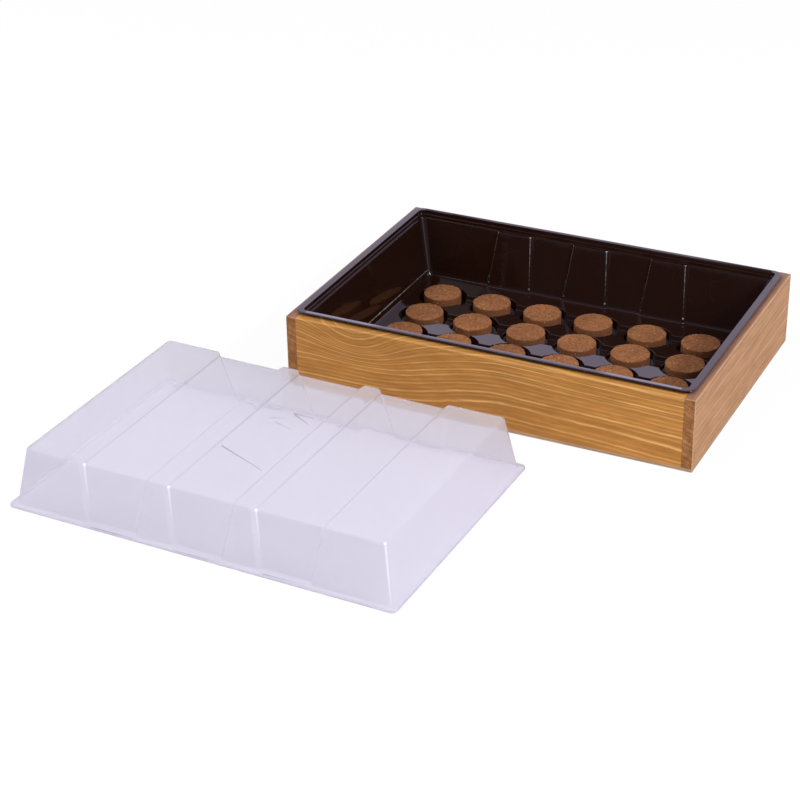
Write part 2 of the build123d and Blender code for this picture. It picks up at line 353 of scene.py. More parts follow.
def grain_group():
    # Growth rings, fibres and mottling; X runs along the grain and Y up the board's face
    inputs = {"Place": None, "Spacing": 0.0042, "Figure": 0.0, "Wander": 0.004, "Seed": 0.0}
    group, given, result = new_group("board_grain", inputs, ("Rings", "Fibres", "Mottle"))
    seed = given["Seed"]
    along, across, deep = parts_of(given["Place"])

    def drawn_out(lengthwise, side, crosswise, depthwise, detail=2.0, roughness=0.5):
        # Noise that is drawn out along the grain
        where = vector_of(along * lengthwise, side * crosswise, deep * depthwise + seed)
        return noise_of(where, 1.0, detail, roughness)

    # The long boards' figure: nested bowls at the left, a rise to the right of them, then a slow fall
    bowl_place, bowl_reach, bowl_depth = -0.130, 0.040, 0.021
    bowl = (along - bowl_place) / bowl_reach
    bowl = maths("EXPONENT", bowl * bowl * -1.0) * ramp(across, 0.030, 0.060, 0.0, bowl_depth)
    rise = ramp(along, -0.118, 0.022) * ramp(across, 0.0, 0.036, 0.010, 0.021)
    fall_start, fall_slope = 0.025, 0.03
    fall = maths("MAXIMUM", along - fall_start, 0.0) * fall_slope
    figure = (bowl - rise + fall) * given["Figure"]
    slow = (drawn_out(11.0, across, 30.0, 30.0) - 0.5) * given["Wander"]
    quick = (drawn_out(75.0, across, 160.0, 160.0) - 0.5) * 0.0010
    ring_tilt = 0.45
    radius = across + deep * ring_tilt + figure + (slow + quick)
    # Rings of uneven width and strength, each a thin line with a sharp side and a soft side
    phase = radius / given["Spacing"]
    pace = {"W": phase * 0.42 + seed, "Scale": 1.0, "Detail": 1.0}
    phase = phase + add_node("ShaderNodeTexNoise", pace, noise_dimensions="1D") * 1.7
    part, number = maths("FRACT", phase), maths("FLOOR", phase)
    line = ramp(part, 0.0, 0.16) * ramp(part, 0.18, 0.66, 1.0, 0.0)
    power = add_node("ShaderNodeTexWhiteNoise", {"W": number + seed}, noise_dimensions="1D")["Value"]
    power = ramp(power, 0.0, 1.0, 0.45, 1.0)
    odd = maths("FRACT", number * 0.5) * 2.0
    weak = odd * given["Figure"] * ramp(along, -0.07, 0.05, 0.70, 0.60)
    fade = ramp(drawn_out(26.0, across, 90.0, 90.0), 0.30, 0.62, 0.5, 1.0)
    feed(result, {
        "Rings": line * (power * (1.0 - weak) * fade),
        "Fibres": drawn_out(60.0, radius, 1500.0, 900.0, 3.0, 0.6),
        "Mottle": drawn_out(22.0, across, 110.0, 110.0, 4.0, 0.62),
    })
    return group


def edge_group():
    # 1 on the box's top outer edges and upright corners, where sanding bares paler wood
    group, given, result = new_group("worn_edges", {"Place": None}, ("Edge", "Joint"))
    worn_reach, chip_depth, joint_reach = 0.0021, 0.0016, 0.0007
    x, y, z = parts_of(given["Place"])
    from_x, from_y = BOX_HALF_X - abs(x), BOX_HALF_Y - abs(y)
    top = vector_maths("LENGTH", vector_of(maths("MINIMUM", from_x, from_y), BOARD_TOP - z))
    upright = vector_maths("LENGTH", vector_of(from_x, from_y))
    chips = noise_of(given["Place"], 420.0, 3.0)
    near = maths("MINIMUM", top, upright) + (chips - 0.5) * chip_depth
    feed(result, {
        "Edge": ramp(near, 0.0, worn_reach, 1.0, 0.0),
        "Joint": ramp(abs(from_x - BOARD_THICKNESS), 0.0, joint_reach, 1.0, 0.0),
    })
    return group


def scuff_group():
    # Fine hair scratches and smears for the moulded sheets
    group, given, result = new_group("sheet_scuffs", {"Place": None}, ("Scratches", "Smears", "Ripple"))
    where = given["Place"]
    bent = bent_place(where, 9.0, 2.0, 0.09)
    hairs = []
    for angle, scale in ((0.5, 16.0), (1.9, 21.0), (2.7, 13.0)):
        inputs = {"Vector": bent, "Rotation": (0.3, 0.2, angle), "Scale": (scale, 1.6 * scale, scale)}
        turned = add_node("ShaderNodeMapping", inputs)
        hair = ramp(cells_of(turned, 1.0, "DISTANCE_TO_EDGE")["Distance"], 0.0, 0.006, 1.0, 0.0)
        hairs.append(hair * ramp(noise_of(turned, 1.7, 1.0), 0.56, 0.66))
    feed(result, {
        "Scratches": strongest(hairs),
        "Smears": ramp(noise_of(where, 22.0, 5.0, 0.6), 0.42, 0.72),
        "Ripple": noise_of(where, 34.0),
    })
    return group


def line_group():
    # 1 in a bead at both ends of a line from one point to another, less along it and 0 away from it
    inputs = {"Place": None, "Start": None, "Along": None, "Width": 0.0006, "Bead": 0.0001}
    group, given, result = new_group("sheet_line", inputs, ("Line",))
    along = given["Along"]
    away = vector_maths("SUBTRACT", given["Place"], given["Start"])
    whole = vector_maths("DOT_PRODUCT", along, along)
    part = maths("DIVIDE", vector_maths("DOT_PRODUCT", away, along), whole, clamp=True)
    foot = add_node("ShaderNodeVectorMath", {0: along, "Scale": part}, operation="SCALE")
    thin = given["Width"] * ramp(part, 0.0, 1.0, 1.0, 0.5)
    line = ramp(vector_maths("DISTANCE", away, foot) / thin, 0.4, 1.0, 1.0, 0.0)
    from_end = maths("MINIMUM", vector_maths("DISTANCE", away, along), vector_maths("LENGTH", away))
    bead = ramp(from_end / given["Bead"], 0.5, 1.0, 1.0, 0.0)
    feed(result, {"Line": maths("MAXIMUM", line * 0.45, bead)})
    return group


def sheet_groups():
    # The node groups that the tray and the hood share
    known = bpy.data.node_groups
    return known.get("sheet_scuffs") or scuff_group(), known.get("sheet_line") or line_group()


def lines_mask(where, group, lines):
    # The strongest of several lines, each given as start, end, width, bead and strength
    masks = []
    for start, end, width, bead, power in lines:
        line = use_group(group, Place=where, Start=start, Along=end - start, Width=width, Bead=bead)
        masks.append(line * power)
    return strongest(masks)


def wood_material(name, groups, tones, order, spacing, figure, wander, seed, contrast, painted_top_shade):
    # Stained wood: tones are early wood, late wood and end grain; order[0] is the axis of the grain;
    # the board's upper faces carry painted shade, a tone that darkens them
    early, late, cut_tone = tones
    grain_axis = order[0]
    made, shader, where, normal = new_material(name)
    parts, facing = parts_of(where), parts_of(normal)
    laid = vector_of(*[parts[axis] for axis in order])
    grain = use_group(groups[0], Place=laid, Spacing=spacing, Figure=figure, Wander=wander, Seed=seed)
    edges = use_group(groups[1], Place=where)
    fibres, rings = grain["Fibres"], grain["Rings"] * contrast
    shade = ramp(fibres, 0.25, 0.75, 0.88, 1.10) * ramp(grain["Mottle"], 0.25, 0.75, 0.86, 1.12)
    # A board with a figure is paler at its right
    shade = shade * ramp(parts[grain_axis], 0.02, 0.16, 1.0 - 0.04 * figure, 1.0 + 0.09 * figure)
    colour = shaded(blend(rings, early, late), shade * (1.0 - edges["Joint"] * 0.45))
    bare_wood = [(tone + bare) / 2 for tone, bare in zip(late, (0.85, 0.62, 0.38))]
    colour = blend(edges["Edge"] * 0.30, colour, bare_wood)
    # Painted shade: the upward faces are darkened
    colour = blend(ramp(facing[2], 0.55, 0.95), colour, blend(1.0, colour, painted_top_shade, "MULTIPLY"))
    cut = ramp(abs(facing[grain_axis]), 0.80, 0.97)
    pores = ramp(noise_of(where, 1500.0), 0.36, 0.64, 0.66, 1.22)
    patches = ramp(noise_of(where, 190.0, 3.0), 0.3, 0.7, 0.80, 1.25)
    cut_colour = shaded(cut_tone, pores * patches * ramp(rings, 0.0, 0.8, 0.9, 1.3))
    feed(shader, {
        "Base Color": blend(cut, colour, cut_colour),
        "Roughness": ramp(fibres, 0.2, 0.8, 0.50, 0.66) + cut * 0.2,
        "Normal": bump_of(fibres * 0.6 + rings * 0.5 + pores * cut * 0.8, 0.35, 0.00025),
        "Specular IOR Level": 0.18,
    })
    return made


def plywood_material(grain, face_tone, line_tone):
    # Its middle ply, which shows at the panel's edges, is darker
    made, shader, where, _ = new_material("plywood_sheet")
    grain = use_group(grain, Place=where, Spacing=0.013, Seed=7.0)
    fibres = grain["Fibres"]
    middle = 0.0015
    core = ramp(abs(parts_of(where)[2] - middle), 0.0004, 0.0006, 0.72, 1.0)
    shade = core * ramp(fibres, 0.25, 0.75, 0.86, 1.1) * ramp(grain["Mottle"], 0.25, 0.75, 0.86, 1.12)
    feed(shader, {
        "Base Color": shaded(blend(grain["Rings"] * 0.25, face_tone, line_tone), shade),
        "Roughness": 0.7,
        "Normal": bump_of(fibres, 0.3, 0.0002),
    })
    return made


def steel_material(tone):
    made, shader, where, _ = new_material("brad_steel")
    spots = noise_of(where, 2600.0, 3.0)
    feed(shader, {
        "Base Color": blend(ramp(spots, 0.4, 0.7), tone, (0.05, 0.025, 0.015)),
        "Roughness": ramp(spots, 0.3, 0.7, 0.35, 0.75),
        "Metallic": 0.4,
    })
    return made


def tray_material(groups, sizes, edges):
    # Edges are lines of painted highlight, pale with a bead at each end, on the front and the back wall
    # alike
    scuffs, line = groups
    made, shader, where, _ = new_material("tray_sheet")
    scuffs = use_group(scuffs, Place=where)
    smears, scratches = scuffs["Smears"], scuffs["Scratches"]
    colour = blend(smears * 0.3, sizes.colour, (0.022, 0.009, 0.006))
    colour = blend(scratches * 0.06, colour, (0.12, 0.09, 0.08))
    crumbs = ramp(noise_of(where, 900.0), 0.74, 0.80)
    colour = blend(crumbs * 0.5, colour, (0.16, 0.08, 0.045))
    x, y, z = parts_of(where)
    # Painted highlight: the pale lines, whose beads stand for glints at the corners
    pale = lines_mask(vector_of(x, abs(y), z), line, edges)
    pale = pale * ramp(noise_of(where, 330.0), 0.35, 0.6, 0.3, 1.0)
    feed(shader, {
        "Base Color": blend(pale, colour, (0.60, 0.56, 0.62)),
        "Roughness": smears * 0.04 + sizes.roughness + scratches * 0.08,
        "Normal": bump_of(scuffs["Ripple"] - scratches * 0.012, 0.35, 0.0004),
        "IOR": 1.5,
    })
    return made


def pellet_material(sizes):
    made, shader, where, normal = new_material("pressed_fibre")
    lumps = noise_of(where, 420.0, 5.0, 0.62)
    fine = noise_of(where, 2300.0, 3.0, 0.6)
    strands = cells_of(bent_place(where, 300.0, 1.0, 0.004), 620.0, "DISTANCE_TO_EDGE")["Distance"]
    colour = blend(ramp(lumps, 0.36, 0.62), sizes.hollow_tone_and_side_shade, sizes.colour)
    colour = blend(ramp(strands, 0.0, 0.09, 1.0, 0.0) * 0.15, colour, (0.42, 0.21, 0.11))
    shade = ramp(fine, 0.25, 0.75, 0.82, 1.18) * ramp(noise_of(where, 30.0), 0.3, 0.7, 0.86, 1.12)
    # Painted shade: the sides and the underside, which face away from the light above, take the dark fibre
    # colour
    upward = parts_of(normal)[2]
    colour = blend(ramp(upward, 0.1, 0.7, 0.75, 0.0), shaded(colour, shade), sizes.hollow_tone_and_side_shade)
    cells = cells_of(where, 430.0)
    few = ramp(add_node("ShaderNodeSeparateColor", {0: cells["Color"]}), 0.85, 0.88)
    flecks = ramp(cells["Distance"], 0.12, 0.26, 1.0, 0.0) * few
    feed(shader, {
        "Base Color": blend(flecks, colour, sizes.fleck),
        "Roughness": ramp(flecks, 0.0, 1.0, 0.92, 0.25),
        "Normal": bump_of(lumps + fine * 0.5, 0.8, 0.0005),
        "Specular IOR Level": 0.25,
    })
    return made


def hood_folds_and_foot_shade(sizes):
    # Dark lines, each with its ends' X and Y in millimetres: strong and faint creases that handling has left
    # across the top plate, and faint painted shade along the front's foot, where the recesses meet the
    # flange
    strong = ((-150, -345, -99, -367), (-121, -270, -101, -271), (-119, -272, -101, -282))
    faint = ((-136, -285, -124, -281), (-129, -290, -110, -296), (21, -307, 31, -301))
    painted_foot_shade = ((-227, -437, -186, -437), (-144, -439, -103, -439), (-60, -439, -26, -439))
    top = sizes.height - sizes.belt_top_depth
    lines = []
    for folds, level, width, depth in (
        (strong, top, 1.1 * MM, 1.5),
        (faint, top, 0.9 * MM, 1.2),
        (painted_foot_shade, sizes.lip_height, 0.9 * MM, 1.2),
    ):
        for start_x, start_y, end_x, end_y in folds:
            start = Vector((start_x * MM, start_y * MM, level))
            end = Vector((end_x * MM, end_y * MM, level))
            lines.append((start, end, width, 0.3 * MM, depth))
    return lines


def hood_material(groups, sizes, edges, painted_shade_lines):
    # Edges are lines of painted highlight, white and glowing a little; the other lines are painted shade,
    # darker lines along the grooves' inner edges
    scuffs, line = groups
    made, shader, where, _ = new_material("hood_sheet")
    scuffs = use_group(scuffs, Place=where)
    scratches = scuffs["Scratches"]
    white = lines_mask(where, line, edges)
    colour = blend(scratches * 0.12, sizes.colour, (0.70, 0.68, 0.76))
    # Darker lines: the creases, and painted shade along the recesses' foot and the grooves' inner edges
    colour = blend(lines_mask(where, line, hood_folds_and_foot_shade(sizes) + painted_shade_lines), colour, (0.26, 0.24, 0.31))
    feed(shader, {
        # Painted highlight: the white lines, which also glow a little by emission
        "Base Color": blend(white, colour, WHITE[:3]),
        "Emission Color": grey_of(white),
        "Emission Strength": 0.13,
        "Transmission Weight": 1.0 - sizes.haze,
        "Roughness": scuffs["Smears"] * 0.08 + sizes.roughness,
        "Normal": bump_of(scuffs["Ripple"] - scratches * 0.05, 0.4, 0.0005),
        "IOR": 1.12,
    })
    shadow = add_node("ShaderNodeLightPath", {}, made.node_tree)["Is Shadow Ray"]
    through = add_node("ShaderNodeBsdfTransparent", {"Color": (0.90, 0.89, 0.94, 1.0)}, made.node_tree)
    mixed_with(shader, shadow, through)
    return made


def dress(node_name, material):
    # A CAD node keeps its mesh and gets a finished material
    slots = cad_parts[node_name].data.materials
    slots.clear()
    slots.append(material)


def as_object(name, shape):
    mesh = bpy.data.meshes.new(name)
    shape.to_mesh(mesh)
    shape.free()
    made = bpy.data.objects.new(name, mesh)
    bpy.context.scene.collection.objects.link(made)
    return made


def new_piece(name, shape, material, body, slot_name, *replaced):
    # A finished mesh at the origin that rides on a body in place of a CAD node
    piece = as_object(name, shape)
    piece.data.materials.append(material)
    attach(piece, body)
    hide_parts(*replaced)
    return piece


def smooth(shape, angle):
    # Smooth faces with sharp edges only where the surface turns more than the angle
    for face in shape.faces:
        face.smooth = True
    for edge in shape.edges:
        if len(edge.link_faces) == 2:
            edge.smooth = edge.calc_face_angle(0.0) < angle


def notch_side(slope, soft):
    # Steps across one side of a notch: the place on it, and the depth there from 0 to 1.
    # With soft, both of its corners are rounded over that length.
    if not soft:
        return [(0.0, 0.0), (slope, 1.0)]
    outer = [(part * soft, (1.0 + part) ** 2 * soft / (4 * slope)) for part in (-1.0, -0.33, 0.33, 1.0)]
    return outer + [(slope - place, 1.0 - depth) for place, depth in reversed(outer)]


def sheet_ring(half_x, half_y, radius, level, notches, relief, slope, drop=0.0, soft=0.0, steps=8):
    # A rounded rectangle with notches in its long sides, the same number of points at every level.
    # Each notch is (middle, half width): the sheet goes in by relief over the slope and down by drop.
    points = []
    side = notch_side(slope, soft)
    corners = ((1, 1, 0.0), (-1, 1, 90.0), (-1, -1, 180.0), (1, -1, 270.0))
    for side_x, side_y, start in corners:
        centre_x = side_x * (half_x - radius)
        centre_y = side_y * (half_y - radius)
        for step in range(steps + 1):
            angle = math.radians(start + 90.0 * step / steps)
            x, y = centre_x + radius * math.cos(angle), centre_y + radius * math.sin(angle)
            points.append(Vector((x, y, level)))
        if start in (0.0, 180.0):
            way = -1 if start == 0.0 else 1
            for middle, half in sorted(notches, key=lambda notch: way * notch[0]):
                across = [(-way * (half - place), depth) for place, depth in side]
                across += [(way * (half - place), depth) for place, depth in reversed(side)]
                for place, depth in across:
                    y = side_y * (half_y - relief * depth)
                    points.append(Vector((middle + place, y, level - drop * depth)))
    return points


def bend(corner, coming, going, radius, steps):
    # Points of a curve that rounds the corner between two directions
    reach = radius * math.tan(coming.angle(going) / 2)
    start = corner - coming.normalized() * reach
    end = corner + going.normalized() * reach
    parts = [step / steps for step in range(steps + 1)]
    return [start.lerp(corner, part).lerp(corner.lerp(end, part), part) for part in parts]


def loft_rings(shape, rings):
    # Skins rings of equal length from the first to the last with bmesh extrusions
    first = loop = [shape.verts.new(point) for point in rings[0]]
    edges = [shape.edges.new(pair) for pair in zip(loop, loop[1:] + loop[:1])]
    for points in rings[1:]:
        grown = bmesh.ops.extrude_edge_only(shape, edges=edges)["geom"]
        fresh = {item for item in grown if isinstance(item, bmesh.types.BMVert)}
        following = []
        for vertex, point in zip(loop, points):
            others = [edge.other_vert(vertex) for edge in vertex.link_edges]
            following.append(next(other for other in others if other in fresh))
            following[-1].co = point
        loop = following
        edges = [shape.edges.get(pair) for pair in zip(loop, loop[1:] + loop[:1])]
    return first, loop


def rounded(shape, angle, width, wanted):
    # Rounds the creases sharper than the angle whose lower end is at a wanted level
    edges = []
    for edge in shape.edges:
        creased = len(edge.link_faces) == 2 and edge.calc_face_angle(0.0) > angle
        if creased and wanted(min(vertex.co.z for vertex in edge.verts)):
            edges.append(edge)
    bmesh.ops.bevel(
        shape, geom=edges, offset=width, offset_type="OFFSET", segments=3, profile=0.5, affect="EDGES",
        clamp_overlap=True, material=-1,
    )


def faced_out(shape):
    # Sets every face's normal out of the sheet's upper side
    bmesh.ops.recalc_face_normals(shape, faces=shape.faces)
    if sum(face.normal.z for face in shape.faces) < 0:
        bmesh.ops.reverse_faces(shape, faces=shape.faces)


def give_wall(piece, thickness):
    # Turns one skin into a sheet, away from its faces, and keeps the flat parts flat in the light
    wall = piece.modifiers.new("sheet", "SOLIDIFY")
    wall.thickness = thickness
    wall.offset = -1.0
    wall.use_even_offset = True
    wall.thickness_clamp = 1.0
    flat = piece.modifiers.new("flat_parts", "WEIGHTED_NORMAL")
    flat.mode = "FACE_AREA"
    flat.weight = 100
    flat.keep_sharp = True


def joined(base, others):
    # Adds other solids to base with exact booleans and removes them
    for other in others:
        step = base.modifiers.new(other.name, "BOOLEAN")
        step.operation = "UNION"
        step.solver = "EXACT"
        step.object = other
    bpy.context.view_layer.update()
    graph = bpy.context.evaluated_depsgraph_get()
    mesh = bpy.data.meshes.new_from_object(base.evaluated_get(graph))
    shape = bmesh.new()
    shape.from_mesh(mesh)
    bpy.data.meshes.remove(mesh)
    for used in (base, *others):
        bpy.data.objects.remove(used)
    return shape


class SEEDBOX_OT_timber(bpy.types.Operator):
    """Gives the boards, the plywood bottom and the brads their finish"""

    bl_idname = "seedbox.timber"
    bl_label = "Wooden Box"

    def execute(self, context):
        wood = context.scene.seed_wood
        groups = (grain_group(), edge_group())
        long_tones = (wood.front_early, wood.front_late, wood.end_grain)
        end_tones = (wood.end_early, wood.end_late, wood.end_grain)
        long_axes, end_axes = (0, 2, 1), (1, 2, 0)
        for name, figure, seed in (("front_board", 1.0, 3.1), ("back_board", 0.45, 11.7)):
            dress(name, wood_material(
                name + "_wood", groups, long_tones, long_axes, spacing=wood.ring_spacing, figure=figure,
                wander=0.0032, seed=seed, contrast=1.0, painted_top_shade=(0.95, 0.93, 0.92),
            ))
        for name, seed in (("left_end_board", 19.3), ("right_end_board", 27.9)):
            dress(name, wood_material(
                name + "_wood", groups, end_tones, end_axes, spacing=wood.end_ring_spacing, figure=0.0,
                # The end boards' tops carry strong painted shade
                wander=0.007, seed=seed, contrast=0.85, painted_top_shade=(0.60, 0.56, 0.68),
            ))
        dress("bottom_panel", plywood_material(groups[0], wood.plywood, wood.end_grain))
        steel = steel_material(wood.steel)
        dress("corner_brads", steel)
        dress("panel_brads", steel)
        return {"FINISHED"}


class SEEDBOX_OT_tray(bpy.types.Operator):
    """Models the moulded tray as one sheet with rounded edges"""

    bl_idname = "seedbox.tray"
    bl_label = "Inner Tray"

    def execute(self, context):
        sizes = context.scene.seed_tray
        rim_x = TRAY_HIGH.x - sizes.rim_width_end
        rim_y = TRAY_HIGH.y - sizes.rim_width_side
        first_inset = sizes.step_lean + sizes.upper_ledge
        second_inset = first_inset + sizes.step_lean + sizes.lower_ledge
        foot_inset = second_inset + sizes.wall_lean
        floor_inset = foot_inset + sizes.foot_width
        upper = RIM_TOP - sizes.upper_step
        lower = upper - sizes.lower_step
        island = WELL_FLOOR + sizes.island_height
        foot = island + sizes.foot_height
        well_top = PELLET_RADIUS + sizes.well_gap
        reach_x = rim_x - floor_inset - sizes.well_end_margin - well_top
        reach_y = rim_y - floor_inset - sizes.well_side_margin - well_top
        rows = [reach_y - 2 * reach_y * row / (WELL_ROWS - 1) for row in range(WELL_ROWS)]
        pitch = 2 * reach_x / (WELL_COLUMNS - 1)
        middles = (-1.5 * pitch, 0.0, 1.5 * pitch)
        top_notches = [(middle, sizes.pillar_top / 2) for middle in middles]
        foot_notches = [(middle, sizes.pillar_foot / 2) for middle in middles]

        def ring(level, inset, radius, notches=top_notches, relief=0.0, wide=0.0):
            return sheet_ring(
                rim_x + wide - inset, rim_y - inset, radius, level, notches, relief,
                sizes.pillar_relief, soft=sizes.pillar_round,
            )

        relief = sizes.pillar_relief
        air = bmesh.new()
        start, end = loft_rings(air, [
            ring(RIM_TOP, 0.0, sizes.rim_radius),
            ring(upper, sizes.step_lean, sizes.rim_radius),
            ring(upper, first_inset, sizes.rim_radius),
            ring(lower, first_inset + sizes.step_lean, sizes.rim_radius),
            ring(lower, second_inset, sizes.rim_radius, top_notches, relief),
            ring(foot, foot_inset, sizes.foot_radius, foot_notches, relief),
            ring(island, floor_inset, sizes.foot_radius, foot_notches, relief),
        ])
        air.faces.new(start)
        air.faces.new(end)
        bmesh.ops.recalc_face_normals(air, faces=air.faces)
        hollows = [
            self.wells(sizes, "even_wells", reach_x, rows[1::2]),
            self.wells(sizes, "odd_wells", reach_x, rows[::2]),
            self.channels(sizes, reach_x, sorted(round(y, 5) for y in rows)),
        ]
        shape = joined(as_object("tray_air", air), hollows)
        bmesh.ops.dissolve_limit(shape, angle_limit=math.radians(0.4), verts=shape.verts, edges=shape.edges)
        lid = [face for face in shape.faces if face.calc_center_median().z > RIM_TOP - 0.1 * MM]
        bmesh.ops.delete(shape, geom=lid, context="FACES_ONLY")
        # The flat rim and its lip, turned down outside
        outer_radius = sizes.rim_radius + sizes.rim_width_side
        reach = sizes.rim_width_end - sizes.rim_width_side
        corner = Vector((-sizes.rim_width_side, RIM_TOP))
        lip = bend(corner, Vector((-1.0, 0.0)), Vector((0.0, -1.0)), sizes.lip_round, 5)
        loft_rings(shape, [
            ring(RIM_TOP, 0.0, sizes.rim_radius),
            *[ring(place.y, place.x, outer_radius, wide=reach) for place in lip],
            ring(RIM_TOP - sizes.lip_height, -sizes.rim_width_side, outer_radius, wide=reach),
        ])
        bmesh.ops.remove_doubles(shape, verts=shape.verts, dist=0.002 * MM)
        faced_out(shape)
        crease = math.radians(21.0)
        ledge_zone = lower - 0.5 * MM
        rounded(shape, crease, sizes.wall_round, lambda level: level < ledge_zone)
        rounded(shape, crease, sizes.ledge_round, lambda level: level > ledge_zone)
        bmesh.ops.dissolve_degenerate(shape, dist=0.001 * MM, edges=shape.edges)
        smooth(shape, math.radians(35.0))
        # Painted highlights, pale lines with beads at their ends: the pillars' sides, stronger on their
        # right sides, and the left wall's foot
        edges = []
        for middle in middles:
            for side, bead, power in ((1, 1.3 * MM, 0.8), (-1, 1.0 * MM, 0.3)):
                high_x = middle + side * (sizes.pillar_top / 2 - relief)
                low_x = middle + side * (sizes.pillar_foot / 2 - relief)
                high = Vector((high_x, rim_y - second_inset - relief, lower))
                low = Vector((low_x, rim_y - foot_inset - relief, foot))
                edges.append((high, low, 0.7 * MM, bead, power))
        middle = Vector((foot_inset - rim_x, 0.0, foot))
        corner = Vector((foot_inset - rim_x, rim_y - foot_inset, foot))
        edges.append((middle, corner, 0.9 * MM, 1.2 * MM, 0.8))
        material = tray_material(sheet_groups(), sizes, edges)
        piece = new_piece("moulded_tray", shape, material, "tray", "dark_sheet", "inner_tray")
        give_wall(piece, sizes.sheet)
        return {"FINISHED"}

    @staticmethod
    def wells(sizes, name, reach_x, rows):
        # Tapered wells of rows that don't touch each other, up to a little over the islands
        shape = bmesh.new()
        over = 2.0 * MM
        depth = sizes.island_height + over
        top = PELLET_RADIUS + sizes.well_gap
        lean = sizes.well_lean / sizes.island_height
        for y in rows:
            for column in range(WELL_COLUMNS):
                floor = Vector((-reach_x + 2 * reach_x * column / (WELL_COLUMNS - 1), y, WELL_FLOOR))
                middle = floor + Vector((0.0, 0.0, depth / 2))
                bmesh.ops.create_cone(
                    shape, cap_ends=True, segments=72, radius1=top - sizes.well_lean,
                    radius2=top + lean * over, depth=depth, matrix=Matrix.Translation(middle),
                )
        return as_object(name, shape)

    @staticmethod
    def channels(sizes, reach_x, rows):
        # One channel along each row, from the first well's middle to the last one's
        shape = bmesh.new()
        rise = sizes.island_height - sizes.channel_height
        over = 1.5 * MM
        lean = sizes.channel_lean / rise
        half = sizes.channel_width / 2
        low = WELL_FLOOR + sizes.channel_height
        for y in rows:
            for vertex in bmesh.ops.create_cube(shape, size=1.0)["verts"]:
                end, side = math.copysign(1, vertex.co.x), math.copysign(1, vertex.co.y)
                high = vertex.co.z > 0
                out = half + (over * lean if high else -sizes.channel_lean)
                vertex.co = Vector((end * reach_x, y + side * out, low + (rise + over if high else 0.0)))
        return as_object("channels", shape)


class SEEDBOX_OT_pellets(bpy.types.Operator):
    """Models each pressed pellet with its own lumps and crumbs"""

    bl_idname = "seedbox.pellets"
    bl_label = "Pellets"

    def execute(self, context):
        sizes = context.scene.seed_pellets
        material = pellet_material(sizes)
        for number, name in enumerate(PELLET_NODES):
            low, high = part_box(name)
            shape = self.disc(sizes, (high.x - low.x) / 2, high.z - low.z)
            middle = Vector(((low.x + high.x) / 2, (low.y + high.y) / 2, low.z))
            self.roughen(shape, sizes, number)
            turned = Matrix.Rotation(1.7 * number, 3, "Z")
            bmesh.ops.rotate(shape, verts=shape.verts, cent=Vector(), matrix=turned)
            bmesh.ops.translate(shape, verts=shape.verts, vec=middle)
            smooth(shape, math.radians(60.0))
            new_piece("pressed_" + name, shape, material, name, "pressed_fibre", name)
        return {"FINISHED"}

    @staticmethod
    def disc(sizes, radius, height):
        # A disc with rounded edges and rings of faces fine enough to carry the crumbs
        shape = bmesh.new()
        inner, bend_steps, side_steps = radius - sizes.round, 3, 6
        face = [inner * step / sizes.rings for step in range(sizes.rings + 1)]
        turns = [math.radians(90.0 * step / bend_steps) for step in range(bend_steps + 1)]
        corner = [(sizes.round * math.sin(turn), sizes.round * (1 - math.cos(turn))) for turn in turns]
        upper = [(sizes.round * math.cos(turn), sizes.round * (1 - math.sin(turn))) for turn in turns]
        straight = height - 2 * sizes.round
        profile = [(out, 0.0) for out in face]
        profile += [(inner + out, up) for out, up in corner[1:]]
        profile += [(radius, sizes.round + straight * step / side_steps) for step in range(1, side_steps)]
        profile += [(inner + out, height - down) for out, down in upper]
        profile += [(out, height) for out in reversed(face[:-1])]
        points = [shape.verts.new((out, 0.0, up)) for out, up in profile]
        edges = [shape.edges.new(pair) for pair in zip(points, points[1:])]
        bmesh.ops.spin(
            shape, geom=points + edges, cent=Vector(), axis=Vector((0.0, 0.0, 1.0)), angle=2 * math.pi,
            steps=sizes.sides, use_merge=True,
        )
        bmesh.ops.remove_doubles(shape, verts=shape.verts, dist=0.01 * MM)
        bmesh.ops.recalc_face_normals(shape, faces=shape.faces)
        return shape

    @staticmethod
    def roughen(shape, sizes, number):
        # Moves points inwards and outwards by seeded noise, inwards more at the upper edge
        offset = Vector((7.3 * number, 3.1 * number, 1.7 * number))
        lump_scale, crumb_scale, bite_scale = 260.0, 1100.0, 420.0
        rim_reach, underside, underside_share = 2.5 * MM, 0.3 * MM, 0.15
        shape.normal_update()
        top = max(vertex.co.z for vertex in shape.verts)
        edge = max(vertex.co.x for vertex in shape.verts)
        moves = []
        for vertex in shape.verts:
            lump = noise.fractal(vertex.co * lump_scale + offset, 0.9, 2.0, 3)
            crumb = noise.noise(vertex.co * crumb_scale + offset)
            rim = max(0.0, 1.0 - (edge - vertex.co.xy.length) / rim_reach) * (vertex.co.z / top)
            bite = max(0.0, noise.noise(vertex.co * bite_scale - offset)) * rim
            push = sizes.lumps * (0.6 * lump - 1.5 * bite) + sizes.crumbs * (0.4 + rim) * crumb
            flat = underside_share if vertex.co.z < underside else 1.0
            moves.append((vertex, vertex.normal * (push * flat - 0.25 * sizes.lumps)))
        for vertex, move in moves:
            vertex.co += move


